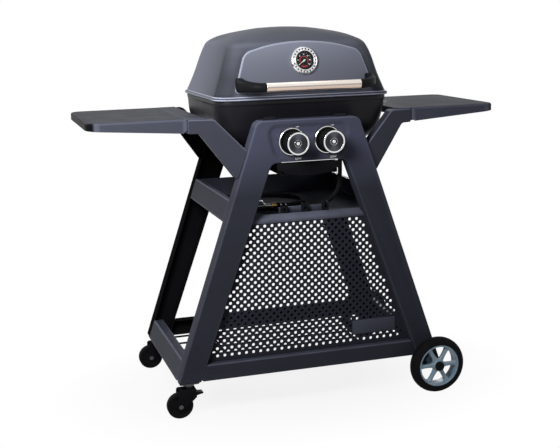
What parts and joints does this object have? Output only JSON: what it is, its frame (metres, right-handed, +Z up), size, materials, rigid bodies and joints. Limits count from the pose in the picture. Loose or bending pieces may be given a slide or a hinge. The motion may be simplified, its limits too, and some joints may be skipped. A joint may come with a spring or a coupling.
{
  "type": "gas barbecue on a wheeled cart",
  "caption": "Domestic gas barbecue with a domed hinged lid, firebox, control knobs and dial thermometer on a splay-legged wheeled cart with folding side shelves",
  "frame": {"origin": "on the floor, at the middle of the overall width and depth", "axes": "+X to the right seen from the front, where the large wheels are; the front with the knobs faces -Y; +Z up"},
  "size_m": [1.167, 0.6126, 1.0403],
  "materials": {
    "graphite_sheet": "satin graphite paint",
    "black_sheet": "satin black paint",
    "gunmetal_casting": "dark grey metallic coating on a casting",
    "black_casting": "satin black coating on a casting",
    "stainless_tube": "brushed",
    "bright_chrome": "polished",
    "black_plastic": "matt",
    "tyre_rubber": "matt",
    "caster_rubber": "matt",
    "hose_rubber": "matt",
    "blue_grey_hub": "satin",
    "cast_iron": "rough",
    "plain_steel": "plain",
    "brass": "machined",
    "dial_face": "matt",
    "needle_white": "matt",
    "clear_glass": "clear"
  },
  "bodies": {
    "cart": {"front_frame": "graphite_sheet", "rear_frame": "black_sheet", "arm_front_left": "graphite_sheet", "arm_front_right": "graphite_sheet", "arm_rear_left": "black_sheet", "arm_rear_right": "black_sheet", "bottom_rail_left": "graphite_sheet", "bottom_rail_right": "graphite_sheet", "bottom_rail_front": "graphite_sheet", "bottom_rail_rear": "black_sheet", "mid_tray": "graphite_sheet", "tool_rail": "graphite_sheet", "perforated_panel": "black_sheet", "wire_rack": "black_sheet", "axle": "plain_steel", "caster_plate_front": "plain_steel", "caster_plate_rear": "plain_steel", "firebox": "black_casting", "hinge_rod": "plain_steel", "knob_bezel_left": "bright_chrome", "knob_bezel_right": "bright_chrome", "valve_left": "brass", "valve_right": "brass", "manifold": "plain_steel", "burner_left": "cast_iron", "burner_right": "cast_iron", "grate_left": "cast_iron", "grate_right": "cast_iron", "gas_hose": "hose_rubber", "regulator": "plain_steel"},
    "lid_body": {"lid": "gunmetal_casting", "handle_tube": "stainless_tube", "handle_bracket_left": "black_plastic", "handle_bracket_right": "black_plastic", "thermometer_bezel": "bright_chrome", "thermometer_dial": "dial_face", "thermometer_glass": "clear_glass"},
    "needle": {"thermometer_needle": "needle_white"},
    "shelf_left_body": {"shelf_left": "graphite_sheet"},
    "shelf_right_body": {"shelf_right": "graphite_sheet"},
    "stem_left_body": {"valve_stem_left": "brass"},
    "stem_right_body": {"valve_stem_right": "brass"},
    "knob_left_body": {"knob_left": "black_plastic"},
    "knob_right_body": {"knob_right": "black_plastic"},
    "wheel_front": {"tyre_front": "tyre_rubber", "hub_front": "blue_grey_hub", "hub_cap_front": "black_plastic"},
    "wheel_rear": {"tyre_rear": "tyre_rubber", "hub_rear": "blue_grey_hub", "hub_cap_rear": "black_plastic"},
    "fork_front": {"caster_fork_front": "black_sheet", "caster_pin_front": "plain_steel"},
    "fork_rear": {"caster_fork_rear": "black_sheet", "caster_pin_rear": "plain_steel"},
    "caster_front": {"caster_wheel_front": "caster_rubber"},
    "caster_rear": {"caster_wheel_rear": "caster_rubber"},
    "brake_front": {"caster_brake_front": "black_plastic"},
    "brake_rear": {"caster_brake_rear": "black_plastic"},
    "grease_tray_body": {"grease_tray": "black_sheet"}
  },
  "joints": [
    {"name": "lid_hinge", "type": "hinge", "parent": "cart", "child": "lid_body", "pos_m": [0, 0.216, 0.8623], "axis": [-1, 0, 0], "range_deg": [0, 85]},
    {"name": "needle_turn", "type": "hinge", "parent": "lid_body", "child": "needle", "pos_m": [0, -0.20638, 0.95192], "axis": [0, -0.98, 0.1989], "range_deg": [-240, 0], "stiffness_Nm_per_rad": 0.0002},
    {"name": "shelf_left_fold", "type": "hinge", "parent": "cart", "child": "shelf_left_body", "pos_m": [-0.3315, 0, 0.78], "axis": [0, -1, 0], "range_deg": [0, 90]},
    {"name": "shelf_right_fold", "type": "hinge", "parent": "cart", "child": "shelf_right_body", "pos_m": [0.3315, 0, 0.78], "axis": [0, 1, 0], "range_deg": [0, 90]},
    {"name": "knob_left_turn", "type": "hinge", "parent": "cart", "child": "stem_left_body", "pos_m": [-0.05, -0.2538, 0.742], "axis": [0, -1, 0], "range_deg": [0, 180]},
    {"name": "knob_right_turn", "type": "hinge", "parent": "cart", "child": "stem_right_body", "pos_m": [0.05, -0.2538, 0.742], "axis": [0, -1, 0], "range_deg": [0, 180]},
    {"name": "knob_left_push", "type": "slide", "parent": "stem_left_body", "child": "knob_left_body", "axis": [0, 1, 0], "range_m": [0, 0.005], "stiffness_N_per_m": 400, "springref_m": -0.003},
    {"name": "knob_right_push", "type": "slide", "parent": "stem_right_body", "child": "knob_right_body", "axis": [0, 1, 0], "range_m": [0, 0.005], "stiffness_N_per_m": 400, "springref_m": -0.003},
    {"name": "wheel_front_spin", "type": "hinge", "parent": "cart", "child": "wheel_front", "pos_m": [0.362, -0.279, 0.081], "axis": [0, 1, 0], "continuous": true},
    {"name": "wheel_rear_spin", "type": "hinge", "parent": "cart", "child": "wheel_rear", "pos_m": [0.362, 0.279, 0.081], "axis": [0, 1, 0], "continuous": true},
    {"name": "caster_front_swivel", "type": "hinge", "parent": "cart", "child": "fork_front", "pos_m": [-0.3515, -0.219, 0.0825], "axis": [0, 0, 1], "continuous": true},
    {"name": "caster_rear_swivel", "type": "hinge", "parent": "cart", "child": "fork_rear", "pos_m": [-0.3515, 0.219, 0.0825], "axis": [0, 0, 1], "continuous": true},
    {"name": "caster_front_spin", "type": "hinge", "parent": "fork_front", "child": "caster_front", "pos_m": [-0.3775, -0.219, 0.036], "axis": [0, 1, 0], "continuous": true},
    {"name": "caster_rear_spin", "type": "hinge", "parent": "fork_rear", "child": "caster_rear", "pos_m": [-0.3775, 0.219, 0.036], "axis": [0, 1, 0], "continuous": true},
    {"name": "brake_front_tip", "type": "hinge", "parent": "fork_front", "child": "brake_front", "pos_m": [-0.339, -0.219, 0.0645], "axis": [0, 1, 0], "range_deg": [0, 18]},
    {"name": "brake_rear_tip", "type": "hinge", "parent": "fork_rear", "child": "brake_rear", "pos_m": [-0.339, 0.219, 0.0645], "axis": [0, 1, 0], "range_deg": [0, 18]},
    {"name": "grease_tray_slide", "type": "slide", "parent": "cart", "child": "grease_tray_body", "axis": [0, -1, 0], "range_m": [0, 0.19]}
  ]
}
